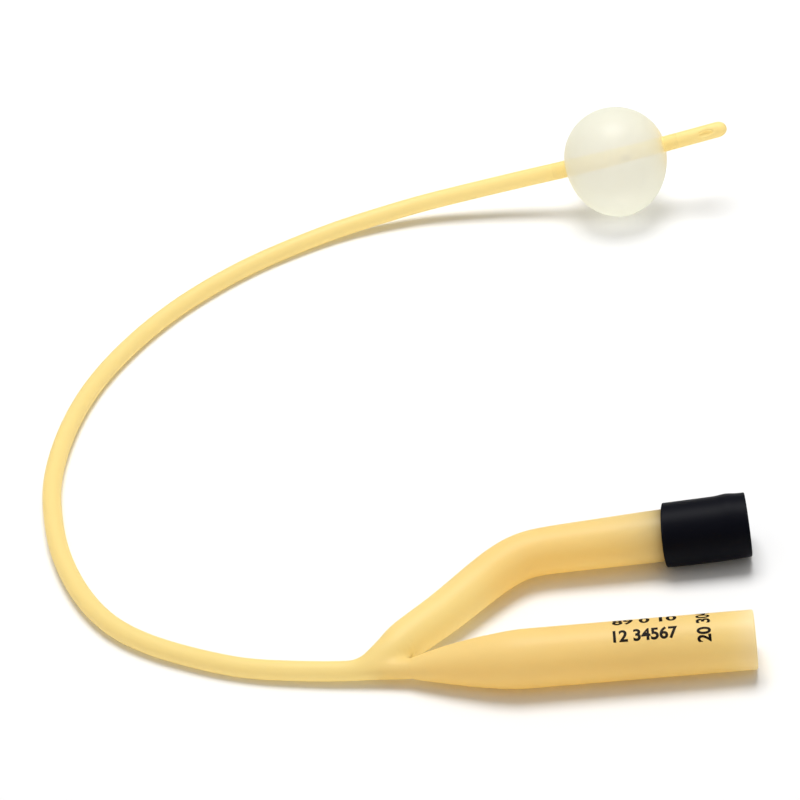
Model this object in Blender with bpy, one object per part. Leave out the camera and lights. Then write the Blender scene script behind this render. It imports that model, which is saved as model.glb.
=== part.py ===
"""Two-way paediatric balloon catheter, 8 Fr, lying on a flat surface with its balloon filled.

Metres, +Z up. The drainage funnel points along +X, and z = 0 is the surface that it lies on.
The origin is the middle of the footprint. A route is a list of points chosen by hand, and each
height on it is the local radius plus a small lift, so a thicker tube still lies on the surface.
"""
import bmesh
import bpy
import numpy as np

# Shaft
SHAFT_OD = 0.0027
SHAFT_OD_AT_FORK = 0.00284
TIP_OD = 0.00246
NOSE_LENGTH = 0.0015
NOSE_END_ANGLE = 76.0
SWELL_LENGTH = 0.030
SWELL_RISE = 0.0075

# Lumens in the shaft
DRAIN_LUMEN = 0.0014
DRAIN_WALL = 0.00036
FILL_LUMEN = 0.00045
FILL_WALL = 0.00018

# Drainage eyes, one on each side and staggered
EYE_WIDTH = 0.0010
EYE_LENGTH = 0.0021
EYE_FLARE = 1.35
EYE_TO_TIP = 0.0034
EYE_STAGGER = 0.0032
EYE_TURN = 27.0
FILL_EYE = 0.00056
FILL_EYE_AHEAD = 0.0017

# Balloon
BALLOON_OD = 0.01736
BALLOON_LENGTH = 0.0161
BALLOON_WALL = 0.0003
BALLOON_TO_TIP = 0.0181
BALLOON_SAG = 0.0007
BALLOON_DRIFT = 0.0004
BALLOON_END_ANGLE = 78.0
CUFF_LENGTH = 0.0022
CUFF_WALL = 0.0002
BOND_GAP = 0.00012

# Drainage funnel
FUNNEL_OD = 0.00785
FUNNEL_WALL = 0.0008
FUNNEL_LENGTH = 0.0302
FUNNEL_TAPER = 0.0148
SHOULDER_X = 0.0170
FUNNEL_Y = -0.0595
NECK_OD = 0.00296
NECK_BORE = 0.0016
TAPER_CURVE = 1.5

# Inflation arm
ARM_OD_ROOT = 0.0012
ARM_OD_FORK = 0.0055
ARM_OD_END = 0.0071
ARM_ROOT_LENGTH = 0.0080
ARM_WALL = 0.0008
ARM_BORE_START = 0.0200
ARM_BORE_TAPER = 0.0070
WEB_BLEND = 0.0011
WEB_DEPTH = 0.0006

# Valve in the arm's end
SLEEVE_WALL = 0.000675
SLEEVE_WAIST = 0.00014
SLEEVE_LENGTH = 0.0114
SLEEVE_LIP = 0.0014
SLEEVE_EDGE = 0.00015
FIT_GAP = 0.00015
PLUG_LENGTH = 0.0085
PORT_OD = 0.0042
PORT_TAPER = 0.06
PORT_DEPTH = 0.0060
PLUG_PINHOLE = 0.0005

# How far a cutter runs past an open end, into the channel that it meets and past the last eye, and
# how much narrower than the neck's bore the channel's cutter is there
CUT_PAST_END = 0.0015
CUT_OVERLAP = 0.0044
CUT_PAST_EYE = 0.0007
CUT_NARROWER = 0.95

# Surface resolution
SIDES = 28
BALLOON_SIDES = 32
BALLOON_ROWS = 17
SLEEVE_ROWS = 11
NOSE_ROWS = 5
BORE_ROWS = 8
RAY_STEPS = 120
CURVE_STEPS = 40
SHARP_ANGLE = 40.0
LUMEN_SIDES = 12
FILL_SIDES = 8
SHAFT_STEP = 0.0045
FORK_STEP = 0.0011

# Routes as (x, y, lift). Heights come from the radius there and the lift.
NECK_ROUTE = [
    (0.01110, -0.05885, 0.00010),
    (0.00570, -0.05810, 0.00050),
    (0.00200, -0.05760, 0.00080),
    (-0.00235, -0.05690, 0.00050),
    (-0.00770, -0.05620, 0.00022),
    (-0.01390, -0.05515, 0.00006),
]
SHAFT_ROUTE = [
    (-0.02100, -0.05333, 0.0),
    (-0.02755, -0.05050, 0.0),
    (-0.03366, -0.04702, 0.0),
    (-0.03903, -0.04255, 0.0),
    (-0.04325, -0.03673, 0.0),
    (-0.04643, -0.03006, 0.0),
    (-0.04869, -0.02324, 0.0),
    (-0.05015, -0.01620, 0.0),
    (-0.05100, -0.00900, 0.0),
    (-0.05085, -0.00170, 0.0),
    (-0.04990, 0.00550, 0.0),
    (-0.04820, 0.01260, 0.0),
    (-0.04570, 0.01930, 0.0),
    (-0.04240, 0.02570, 0.0),
    (-0.03850, 0.03170, 0.0),
    (-0.03395, 0.03725, 0.0),
    (-0.02880, 0.04230, 0.0),
    (-0.02320, 0.04675, 0.0),
]
# Here the third value is the share of the lift that the balloon gives the shaft.
RAISED_ROUTE = [
    (-0.01710, 0.05050, 0.010),
    (-0.01060, 0.05365, 0.040),
    (-0.00390, 0.05570, 0.105),
    (0.00300, 0.05690, 0.210),
    (0.01010, 0.05710, 0.355),
    (0.01715, 0.05680, 0.525),
    (0.02420, 0.05615, 0.712),
    (0.03120, 0.05545, 0.905),
    (0.03820, 0.05500, 1.100),
    (0.04520, 0.05488, 1.280),
    (0.05240, 0.05505, 1.450),
]
ARM_ROUTE = [
    (-0.00560, -0.05620, 0.00110),
    (-0.00300, -0.05560, 0.00090),
    (-0.00080, -0.05425, 0.00035),
    (0.00100, -0.05255, 0.00010),
    (0.00573, -0.04811, 0.00022),
    (0.01045, -0.04325, 0.00040),
    (0.01396, -0.03979, 0.00052),
    (0.01736, -0.03759, 0.00061),
    (0.02108, -0.03694, 0.00068),
]
ARM_RUN_START = (0.02409, -0.03682, 0.00072)
ARM_RUN_END = (0.04814, -0.03609, 0.00041)

UP = np.array([0.0, 0.0, 1.0])


def unit(vectors):
    """Vectors brought to length one."""
    return vectors / np.linalg.norm(vectors, axis=-1, keepdims=True)


def smooth_path(points, step, start_direction=None, end_direction=None):
    """Points a step apart on the cubic spline through the given ones.

    A given direction clamps that end, and an end without one is left free.
    """
    points = np.array(points, dtype=float)
    knots = np.concatenate([[0.0], np.cumsum(np.linalg.norm(np.diff(points, axis=0), axis=1))])
    gaps = np.diff(knots)
    slopes = np.diff(points, axis=0) / gaps[:, None]
    count = len(points)
    system = np.zeros((count, count))
    right = np.zeros((count, 3))
    for i in range(1, count - 1):
        system[i, i - 1:i + 2] = gaps[i - 1], 2.0 * (gaps[i - 1] + gaps[i]), gaps[i]
        right[i] = 6.0 * (slopes[i] - slopes[i - 1])
    system[0, 0] = system[-1, -1] = 1.0
    if start_direction is not None:
        system[0, :2] = 2.0 * gaps[0], gaps[0]
        right[0] = 6.0 * (slopes[0] - start_direction)
    if end_direction is not None:
        system[-1, -2:] = gaps[-1], 2.0 * gaps[-1]
        right[-1] = 6.0 * (end_direction - slopes[-1])
    bends = np.linalg.solve(system, right)
    fine = np.linspace(0.0, knots[-1], CURVE_STEPS * count)
    span = np.clip(np.searchsorted(knots, fine, side="right") - 1, 0, count - 2)
    width = gaps[span][:, None]
    after = (fine - knots[span])[:, None]
    before = width - after
    curve = (bends[span] * before ** 3 + bends[span + 1] * after ** 3) / (6.0 * width)
    curve += (points[span] / width - bends[span] * width / 6.0) * before
    curve += (points[span + 1] / width - bends[span + 1] * width / 6.0) * after
    return resample(curve, step)


def resample(curve, step):
    """The same line with its points an equal step apart."""
    along = lengths_along(curve)
    count = max(int(round(along[-1] / step)), 1) + 1
    places = np.linspace(0.0, along[-1], count)
    return np.stack([np.interp(places, along, curve[:, axis]) for axis in range(3)], axis=1)


def lengths_along(path):
    """Distance of each point from the path's start, measured along it."""
    return np.concatenate([[0.0], np.cumsum(np.linalg.norm(np.diff(path, axis=0), axis=1))])


def frames(path):
    """Direction, level sideways direction and upward direction at each point of a path."""
    along = unit(np.gradient(path, lengths_along(path), axis=0))
    side = unit(np.cross(along, UP))
    return along, side, np.cross(side, along)


def point_at(path, distance):
    """Place, direction, side and upward direction at one distance along a path."""
    measure = lengths_along(path)
    along, side, rise = frames(path)
    values = [np.array([np.interp(distance, measure, line[:, axis]) for axis in range(3)])
              for line in (path, along, side, rise)]
    return values[0], unit(values[1]), unit(values[2]), unit(values[3])


def circle_angles(sides):
    """Equal steps round a circle, from the side direction and over the top."""
    return np.arange(sides) * 2.0 * np.pi / sides


def ring(centre, side, rise, radius, sides):
    """A round section of a tube."""
    turn = circle_angles(sides)[:, None]
    return centre + radius * (np.cos(turn) * side + np.sin(turn) * rise)


def tube_rings(path, radii, sides):
    """Round sections along a whole path."""
    _, side, rise = frames(path)
    return [ring(path[i], side[i], rise[i], radii[i], sides) for i in range(len(path))]


class Skin:
    """A mesh that is put together from rings of points."""

    def __init__(self):
        self.points = []
        self.faces = []

    def add(self, points):
        """Keeps new points and gives their numbers."""
        first = len(self.points)
        self.points.extend(tuple(point) for point in points)
        return list(range(first, len(self.points)))

    def join(self, first, second):
        """Four-sided faces between two rings of as many points."""
        count = len(first)
        for i in range(count):
            following = (i + 1) % count
            self.faces.append((first[i], first[following], second[following], second[i]))

    def stack(self, rings):
        """Adds rings in order and joins each to the one before it."""
        numbers = [self.add(points) for points in rings]
        for i in range(len(numbers) - 1):
            self.join(numbers[i], numbers[i + 1])
        return numbers

    def cap(self, numbers):
        """Closes a ring with one flat face."""
        self.faces.append(tuple(numbers))

    def make(self, name, material=None):
        """The finished object, with its faces pointing outwards."""
        mesh = bpy.data.meshes.new(name)
        mesh.from_pydata(self.points, [], self.faces)
        solid = bmesh.new()
        solid.from_mesh(mesh)
        bmesh.ops.recalc_face_normals(solid, faces=solid.faces)
        solid.to_mesh(mesh)
        solid.free()
        mesh.shade_smooth()
        mesh.set_sharp_from_angle(angle=np.radians(SHARP_ANGLE))
        if material is not None:
            mesh.materials.append(material)
        made = bpy.data.objects.new(name, mesh)
        bpy.context.scene.collection.objects.link(made)
        return made


def closed_tube(name, path, radii, sides):
    """A solid rod with flat ends, along a path."""
    skin = Skin()
    numbers = skin.stack(tube_rings(path, radii, sides))
    skin.cap(numbers[0])
    skin.cap(numbers[-1])
    return skin.make(name)


def cut(body, tool, name):
    """Takes a tool's shape away from a body and hides the tool."""
    tool.hide_render = True
    tool.display_type = "WIRE"
    boolean = body.modifiers.new(name, "BOOLEAN")
    boolean.operation = "DIFFERENCE"
    boolean.solver = "EXACT"
    boolean.object = tool


def material(name, colour, roughness, see_through=0.0):
    """A plain finish in linear colour."""
    made = bpy.data.materials.new(name)
    made.use_nodes = True
    shader = made.node_tree.nodes["Principled BSDF"]
    shader.inputs["Base Color"].default_value = (*colour, 1.0)
    shader.inputs["Roughness"].default_value = roughness
    shader.inputs["Metallic"].default_value = 0.0
    shader.inputs["Transmission Weight"].default_value = see_through
    return made


def drain_route():
    """Centreline from the funnel's shoulder, through the fork, to the tip."""
    shaft_radius = SHAFT_OD / 2
    balloon_lift = BALLOON_OD / 2 + BALLOON_SAG - shaft_radius
    neck = np.array([(SHOULDER_X, FUNNEL_Y, 0.0), *NECK_ROUTE])
    share = np.clip((neck[:, 0] - SHOULDER_X + FUNNEL_TAPER) / FUNNEL_TAPER, 0.0, 1.0)
    neck[:, 2] += NECK_OD / 2 + (FUNNEL_OD - NECK_OD) / 2 * taper(share)
    lying = np.array(SHAFT_ROUTE) + shaft_radius * UP
    raised = np.array(RAISED_ROUTE) * (1.0, 1.0, balloon_lift) + shaft_radius * UP
    return np.concatenate([neck, lying, raised])


def taper(share):
    """A limb's growth from its root, 0, to its shoulder, 1: quick at the root, level at the shoulder."""
    return 1.0 - (1.0 - share) ** TAPER_CURVE


def drain_radius(distance, total):
    """Outer radius of funnel, neck and shaft at a distance from the mouth."""
    neck_end = FUNNEL_LENGTH + FUNNEL_TAPER
    share = np.clip((neck_end - distance) / FUNNEL_TAPER, 0.0, 1.0)
    funnel = NECK_OD / 2 + (FUNNEL_OD - NECK_OD) / 2 * taper(share)
    shaft = np.interp(distance - neck_end, [0.0, SWELL_RISE, SWELL_LENGTH],
                      [NECK_OD / 2, SHAFT_OD_AT_FORK / 2, SHAFT_OD / 2])
    to_tip = total - distance
    tip = np.interp(to_tip, [BALLOON_TO_TIP - BALLOON_LENGTH / 4, BALLOON_TO_TIP + BALLOON_LENGTH / 4],
                    [TIP_OD / 2, SHAFT_OD / 2])
    return np.where(distance < neck_end, funnel, np.minimum(shaft, tip))


def arm_radius(distance, total):
    """Outer radius of the inflation arm at a distance from its root: straight under the sleeve."""
    root = (ARM_OD_FORK - ARM_OD_ROOT) / 2 * taper(np.clip(distance / ARM_ROOT_LENGTH, 0.0, 1.0))
    grown = np.interp(distance, [ARM_ROOT_LENGTH, total - SLEEVE_LENGTH], [0.0, (ARM_OD_END - ARM_OD_FORK) / 2])
    return ARM_OD_ROOT / 2 + root + grown


def sleeve_radius():
    """Outer radius of the valve's sleeve, which is built up from the arm's end."""
    return ARM_OD_END / 2 + FIT_GAP + SLEEVE_WALL


def arm_path():
    """Centreline of the inflation arm from its root to its end under the sleeve."""
    marks = np.array([*ARM_ROUTE, ARM_RUN_START, ARM_RUN_END])
    flat = lengths_along(marks[:, :2])
    marks[:-1, 2] += arm_radius(flat[:-1], flat[-1])
    marks[-1, 2] += sleeve_radius()
    run_start, sleeve_end = marks[-2:]
    heading = unit(sleeve_end - run_start)
    bend = smooth_path(marks[:-1], FORK_STEP, end_direction=heading)
    arm_end = sleeve_end - heading * (SLEEVE_LIP + FIT_GAP)
    run = resample(np.array([run_start, arm_end]), 2 * FORK_STEP)
    return np.concatenate([bend, run[1:]]), heading, sleeve_end


class Fork:
    """The two branches and the skin that dipping leaves round both of them."""

    def __init__(self):
        route = smooth_path(drain_route(), FORK_STEP, start_direction=np.array([-1.0, 0.0, 0.0]))
        mouth = np.array([SHOULDER_X + FUNNEL_LENGTH, FUNNEL_Y, FUNNEL_OD / 2])
        funnel = resample(np.array([mouth, route[0]]), 2 * FORK_STEP)
        self.drain = np.concatenate([funnel[:-1], route])
        self.length = lengths_along(self.drain)[-1]
        self.drain_radii = drain_radius(lengths_along(self.drain), self.length)
        self.drain[:, 2] = np.maximum(self.drain[:, 2], self.drain_radii)
        self.arm, self.arm_heading, self.sleeve_end = arm_path()
        self.arm_radii = arm_radius(lengths_along(self.arm), lengths_along(self.arm)[-1])
        self.arm[:, 2] = np.maximum(self.arm[:, 2], self.arm_radii)
        near = np.linalg.norm(self.drain - self.arm[0], axis=1) < FUNNEL_TAPER + FUNNEL_LENGTH / 4
        self.near_drain = self.drain[near]
        self.near_radii = self.drain_radii[near]

    def depth(self, points):
        """Distance outside the skin: the nearer rod's, eased where both rods are about as near."""
        drain = rod_distance(points, self.near_drain, self.near_radii)
        arm = rod_distance(points, self.arm, self.arm_radii)
        shared = np.maximum(WEB_BLEND - np.abs(drain - arm), 0.0) / WEB_BLEND
        return np.minimum(drain, arm) - shared ** 2 * WEB_BLEND / 4

    def reach_skin(self, starts, directions):
        """Where rays that start inside come out of the skin."""
        steps = np.linspace(0.0, 2 * ARM_OD_END, RAY_STEPS)
        places = starts[:, None] + steps[None, :, None] * directions[:, None]
        depths = self.depth(places.reshape(-1, 3)).reshape(len(starts), -1)
        out = np.argmax(depths > 0.0, axis=1)
        rows = np.arange(len(starts))
        before, after = depths[rows, out - 1], depths[rows, out]
        reach = steps[out - 1] + (steps[out] - steps[out - 1]) * -before / (after - before)
        return starts + reach[:, None] * directions

    def crotch(self):
        """Where the two branches part: a place in the waist behind the web, and the way forward.

        The waist line runs midway between the two rods' own surfaces.
        """
        waist = []
        for centre, radius in zip(self.arm, self.arm_radii):
            nearest = np.argmin(np.linalg.norm(self.near_drain - centre, axis=1))
            across = self.near_drain[nearest] - centre
            distance = max(np.linalg.norm(across), FILL_LUMEN)
            share = 0.5 + (radius - self.near_radii[nearest]) / (2.0 * distance)
            waist.append(centre + across * np.clip(share, 0.0, 1.0))
        waist = np.array(waist)
        depths = self.depth(waist)
        parted = np.argmax(depths > 0.0)
        behind = np.max(np.flatnonzero(depths[:parted] < -WEB_DEPTH))
        share = (-WEB_DEPTH - depths[behind]) / (depths[behind + 1] - depths[behind])
        first = waist[behind] + share * (waist[behind + 1] - waist[behind])
        return first, unit((waist[parted] - first) * np.array([1.0, 1.0, 0.0]))


def rod_distance(points, axis, radii):
    """Distance from points to a rod of changing thickness, negative inside it."""
    start = axis[:-1]
    step = axis[1:] - start
    offset = points[:, None] - start
    share = np.clip((offset * step).sum(-1) / (step * step).sum(-1), 0.0, 1.0)
    gap = np.linalg.norm(offset - share[..., None] * step, axis=-1)
    return (gap - radii[:-1] - share * np.diff(radii)).min(axis=1)


def fork_ring(fork, centre, side, rise, arm_reach, drain_reach):
    """A section through both branches: rays from a short line between the two lobes."""
    turn = circle_angles(SIDES)[:, None]
    lean = np.cos(turn)
    starts = centre + side * (arm_reach * np.maximum(lean, 0.0) + drain_reach * np.minimum(lean, 0.0))
    return fork.reach_skin(starts, lean * side + np.sin(turn) * rise)


def merging_rings(fork, first, forward, fork_start):
    """Sections from the split, just behind the web, to the plain shaft."""
    last, shaft_way, _, _ = point_at(fork.drain, fork_start)
    reach = np.linalg.norm(last - first)
    rings = []
    for share in np.linspace(0.0, 1.0, int(round(reach / FORK_STEP)) + 1):
        near, far = (1 - share) ** 2 * (1 + 2 * share), share ** 2 * (3 - 2 * share)
        centre = near * first + far * last
        centre = centre - share * (1 - share) ** 2 * reach * forward
        centre = centre - share ** 2 * (1 - share) * reach * shaft_way
        along = unit((share - 1) * forward + share * shaft_way)
        side = unit(np.cross(along, UP))
        lobes = (1 - share) ** 2
        rings.append(fork_ring(fork, centre, side, np.cross(side, along),
                               lobes * ARM_OD_FORK / 2, lobes * NECK_OD / 4))
    return rings


def web_chain(fork, first, forward):
    """Points over the web from the top of the split ring to its bottom."""
    turn = np.pi / 2 - circle_angles(SIDES)[1:SIDES // 2, None]
    rays = np.cos(turn) * forward + np.sin(turn) * UP
    return fork.reach_skin(np.repeat(first[None], len(rays), axis=0), rays)


def branch_rings(fork, path, radii, first_at, ray_length):
    """Sections of one branch: met by rays near the web, and plain circles farther on.

    The path ends in the fork, and first_at is where its last section stands.
    """
    measure = lengths_along(path)
    _, side, rise = frames(path)
    rings = []
    for i in np.flatnonzero(measure < first_at - FORK_STEP / 2):
        rings.append(path_ring(fork, path[i], side[i], rise[i], radii[i], measure[i] > first_at - ray_length))
    centre, _, side, rise = point_at(path, first_at)
    rings.append(path_ring(fork, centre, side, rise, 0.0, True))
    return rings


def path_ring(fork, centre, side, rise, radius, by_rays):
    """One round section, or the section that rays find on the dipped skin."""
    if not by_rays:
        return ring(centre, side, rise, radius, SIDES)
    turn = circle_angles(SIDES)[:, None]
    rays = np.cos(turn) * side + np.sin(turn) * rise
    return fork.reach_skin(np.repeat(centre[None], SIDES, axis=0), rays)


def first_section(path, web, outer_point):
    """Where a branch's first whole section stands: clear of the web and of the split ring."""
    measure = lengths_along(path)
    along, _, _ = frames(path)
    places = []
    for point in (web, outer_point):
        nearest = np.argmin(np.linalg.norm(path - point, axis=1))
        places.append(measure[nearest] + (point - path[nearest]) @ along[nearest])
    return min(places) - FORK_STEP


def nose_rings(fork):
    """Sections of the rounded tip."""
    rings = []
    for turn in np.linspace(0.0, np.radians(NOSE_END_ANGLE), NOSE_ROWS):
        place = fork.length - NOSE_LENGTH * (1.0 - np.sin(turn))
        centre, _, side, rise = point_at(fork.drain, place)
        rings.append(ring(centre, side, rise, TIP_OD / 2 * np.cos(turn), SIDES))
    return rings


def latex_skin(fork, finish):
    """The dipped outside of funnel, fork, arm and shaft, as one closed mesh."""
    first, forward = fork.crotch()
    root_at = lengths_along(fork.drain)[np.argmin(np.linalg.norm(fork.drain - fork.arm[0], axis=1))]
    fork_start = root_at + ARM_OD_ROOT / 2 + 2 * WEB_BLEND
    merging = merging_rings(fork, first, forward, fork_start)
    chain_points = web_chain(fork, first, forward)
    web = chain_points[SIDES // 4 - 1]
    arm_back, arm_back_radii = fork.arm[::-1], fork.arm_radii[::-1]
    quarter = SIDES // 4
    arm_first = first_section(arm_back, web, merging[0][0])
    drain_first = first_section(fork.drain, web, merging[0][2 * quarter])
    ray_length = 2 * ARM_OD_FORK
    skin = Skin()
    arm = skin.stack(branch_rings(fork, arm_back, arm_back_radii, arm_first, ray_length))
    drain = skin.stack(branch_rings(fork, fork.drain, fork.drain_radii, drain_first, ray_length))
    shaft_path = resample(fork.drain[lengths_along(fork.drain) > fork_start], SHAFT_STEP)
    shaft_at = np.linspace(fork_start, fork.length - NOSE_LENGTH, len(shaft_path))[1:-1]
    plain = []
    for place in shaft_at:
        centre, _, side, rise = point_at(fork.drain, place)
        plain.append(ring(centre, side, rise, drain_radius(place, fork.length), SIDES))
    shaft = skin.stack(merging + plain + nose_rings(fork))
    chain = skin.add(chain_points)
    top, bottom = quarter, 3 * quarter
    arm_root = shaft[0][:top + 1] + chain + shaft[0][bottom:]
    drain_root = chain[:quarter][::-1] + shaft[0][top:bottom + 1] + chain[quarter:][::-1]
    skin.join(arm[-1], arm_root)
    skin.join(drain[-1], drain_root)
    skin.cap(arm[0])
    skin.cap(drain[0])
    skin.cap(shaft[-1])
    return skin.make("latex_body", finish)


def funnel_bore(fork):
    """The hollow of the funnel, from outside the mouth down to the neck."""
    depth = FUNNEL_LENGTH + FUNNEL_TAPER
    places = np.concatenate([[0.0], np.linspace(FUNNEL_LENGTH, depth, BORE_ROWS)])
    path = np.array([point_at(fork.drain, place)[0] for place in places])
    radii = np.maximum(drain_radius(places, fork.length) - FUNNEL_WALL, NECK_BORE / 2)
    path[0] -= unit(path[1] - path[0]) * CUT_PAST_END
    return closed_tube("funnel_bore", path, radii, SIDES)


def drain_lumen(fork):
    """The drainage channel from the neck to just past the eye nearer the tip."""
    start = FUNNEL_LENGTH + FUNNEL_TAPER - CUT_OVERLAP
    end = fork.length - EYE_TO_TIP + CUT_PAST_EYE
    places = np.linspace(start, end, int(round((end - start) / SHAFT_STEP)) + 1)
    offset = SHAFT_OD / 2 - DRAIN_WALL - DRAIN_LUMEN / 2
    neck = FUNNEL_LENGTH + FUNNEL_TAPER
    offsets = np.interp(places, [neck, neck + ARM_ROOT_LENGTH, fork.length - BALLOON_TO_TIP,
                                 fork.length - BALLOON_TO_TIP + BALLOON_LENGTH / 2],
                        [0.0, offset, offset, 0.0])
    stands = [point_at(fork.drain, place) for place in places]
    path = np.array([stand[0] - shift * stand[2] for stand, shift in zip(stands, offsets)])
    radii = np.interp(places, [neck, neck + ARM_ROOT_LENGTH], [NECK_BORE / 2 * CUT_NARROWER, DRAIN_LUMEN / 2])
    return closed_tube("drain_lumen", path, radii, LUMEN_SIDES)


def fill_eye_place(fork):
    """Distance along the shaft of the small hole under the balloon."""
    return fork.length - BALLOON_TO_TIP + FILL_EYE_AHEAD


def fill_lumen(fork):
    """The inflation channel in the shaft's wall, and through the fork into the arm."""
    root_at = lengths_along(fork.drain)[np.argmin(np.linalg.norm(fork.drain - fork.arm[0], axis=1))]
    end = fill_eye_place(fork)
    offset = SHAFT_OD / 2 - FILL_WALL - FILL_LUMEN / 2
    stands = [point_at(fork.drain, place)
              for place in np.linspace(root_at, end, int(round((end - root_at) / SHAFT_STEP)) + 1)]
    in_shaft = [stand[0] + offset * stand[2] for stand in stands][::-1]
    arm_at = lengths_along(fork.arm)
    in_arm = fork.arm[(arm_at > ARM_ROOT_LENGTH - CUT_OVERLAP / 2) & (arm_at < ARM_BORE_START + CUT_OVERLAP / 2)]
    path = smooth_path([*in_shaft, *in_arm[::3]], SHAFT_STEP)
    return closed_tube("fill_lumen", path, np.full(len(path), FILL_LUMEN / 2), FILL_SIDES)


def arm_bore_radius(fork, place):
    """Radius of the hollow in the inflation arm, which follows the arm's own taper."""
    total = lengths_along(fork.arm)[-1]
    full = arm_radius(place, total) - ARM_WALL
    share = np.clip((place - ARM_BORE_START) / ARM_BORE_TAPER, 0.0, 1.0)
    return FILL_LUMEN + (full - FILL_LUMEN) * np.sqrt(share * (2.0 - share))


def arm_bore(fork):
    """The hollow of the inflation arm, from its cone to outside its end."""
    total = lengths_along(fork.arm)[-1]
    cone_end = ARM_BORE_START + ARM_BORE_TAPER
    places = np.concatenate([np.linspace(ARM_BORE_START, cone_end, BORE_ROWS),
                             np.linspace(cone_end, total, BORE_ROWS)[1:]])
    path = np.array([point_at(fork.arm, place)[0] for place in places])
    radii = arm_bore_radius(fork, places)
    path[-1] += fork.arm_heading * CUT_PAST_END
    return closed_tube("arm_bore", path, radii, SIDES)


def eye_cutter(name, fork, to_tip, turn):
    """An oval punch that opens one side of the shaft into the drainage channel."""
    centre, along, side, rise = point_at(fork.drain, fork.length - to_tip)
    outward = np.cos(turn) * side + np.sin(turn) * rise
    across = np.cross(outward, along)
    angles = circle_angles(2 * FILL_SIDES)[:, None]
    oval = EYE_LENGTH / 2 * np.cos(angles) * along + EYE_WIDTH / 2 * np.sin(angles) * across
    skin = Skin()
    skin_at = TIP_OD / 2
    numbers = skin.stack([centre + oval / EYE_FLARE, centre + oval + skin_at * outward,
                          centre + oval * EYE_FLARE + (skin_at + EYE_WIDTH / 2) * outward])
    skin.cap(numbers[0])
    skin.cap(numbers[-1])
    return skin.make(name)


def fill_eye_cutter(fork):
    """A small round punch from the inflation channel out through the shaft's side."""
    centre, along, side, rise = point_at(fork.drain, fill_eye_place(fork))
    inner = SHAFT_OD / 2 - FILL_WALL - FILL_LUMEN / 2
    path = np.array([centre + side * inner, centre + side * SHAFT_OD])
    angles = circle_angles(LUMEN_SIDES)[:, None]
    circle = FILL_EYE / 2 * (np.cos(angles) * along + np.sin(angles) * rise)
    skin = Skin()
    numbers = skin.stack([path[0] + circle, path[1] + circle])
    skin.cap(numbers[0])
    skin.cap(numbers[-1])
    return skin.make("fill_eye_cutter")


def latex_body(fork):
    """Funnel, fork, arm and shaft in one dipped piece, with both channels and their eyes."""
    body = latex_skin(fork, material("yellow_latex", (0.80, 0.56, 0.22), 0.42))
    tip_turn = np.radians(EYE_TURN)
    cut(body, funnel_bore(fork), "funnel bore")
    cut(body, arm_bore(fork), "arm bore")
    cut(body, drain_lumen(fork), "drain lumen")
    cut(body, fill_lumen(fork), "fill lumen")
    cut(body, eye_cutter("eye_cutter_front", fork, EYE_TO_TIP, tip_turn), "front eye")
    cut(body, eye_cutter("eye_cutter_back", fork, EYE_TO_TIP + EYE_STAGGER, tip_turn + np.pi), "back eye")
    cut(body, fill_eye_cutter(fork), "fill eye")


def balloon(fork):
    """The filled balloon: one thin shell with a cuff round the shaft at each end."""
    half = BALLOON_LENGTH / 2
    middle = fork.length - BALLOON_TO_TIP
    radius = BALLOON_OD / 2
    turns = np.radians(np.linspace(-BALLOON_END_ANGLE, BALLOON_END_ANGLE, BALLOON_ROWS))
    skin = Skin()
    rings = []
    for wall, way in ((0.0, 1), (BALLOON_WALL, -1)):
        cuff_wall = CUFF_WALL if way == 1 else 0.0
        bulge = [(half - wall) * np.sin(turn) for turn in turns]
        spread = [(radius - wall) * np.cos(turn) for turn in turns]
        ends = [-half - CUFF_LENGTH, -half]
        places = np.array([*ends, *bulge, *[-place for place in ends[::-1]]])
        spread = np.array([0.0, 0.0, *spread, 0.0, 0.0])
        measure = middle + places
        snug = drain_radius(measure, fork.length) + BOND_GAP + cuff_wall
        radii = np.maximum(spread, snug)
        slack = np.clip((radii - snug) / (radius - snug), 0.0, 1.0)
        for i in range(len(places))[::way]:
            centre, _, side, rise = point_at(fork.drain, measure[i])
            hang = slack[i] * (BALLOON_DRIFT * side - BALLOON_SAG * UP)
            rings.append(ring(centre + hang, side, rise, radii[i], BALLOON_SIDES))
    numbers = skin.stack(rings)
    skin.join(numbers[-1], numbers[0])
    skin.make("balloon", material("milky_latex", (0.86, 0.88, 0.80), 0.3, 0.6))


def turned(name, end, heading, profile, sides, finish):
    """A piece turned about the arm's end run.

    The profile is a closed loop of (distance back from the end, radius).
    """
    side = unit(np.cross(-heading, UP))
    rise = np.cross(side, -heading)
    rings = [ring(end - back * heading, side, rise, radius, sides) for back, radius in profile]
    skin = Skin()
    numbers = skin.stack(rings)
    skin.join(numbers[-1], numbers[0])
    return skin.make(name, finish)


def valve_sleeve(fork):
    """The black rubber sleeve on the arm's end, with a lip that leaves the port open."""
    outer = sleeve_radius()
    bore = outer - SLEEVE_WALL
    port = PORT_OD / 2 + FIT_GAP
    profile = [(0.0, port), (0.0, outer - SLEEVE_EDGE)]
    for share in np.linspace(0.0, 1.0, SLEEVE_ROWS):
        back = SLEEVE_EDGE + share * (SLEEVE_LENGTH - 2 * SLEEVE_EDGE)
        profile.append((back, outer + SLEEVE_WAIST * np.sin(2.0 * np.pi * share)))
    profile += [(SLEEVE_LENGTH, outer - SLEEVE_EDGE), (SLEEVE_LENGTH, bore), (SLEEVE_LIP, bore),
                (SLEEVE_LIP, port)]
    finish = material("black_rubber", (0.012, 0.013, 0.020), 0.5)
    turned("valve_sleeve", fork.sleeve_end, fork.arm_heading, profile, BALLOON_SIDES, finish)


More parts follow.
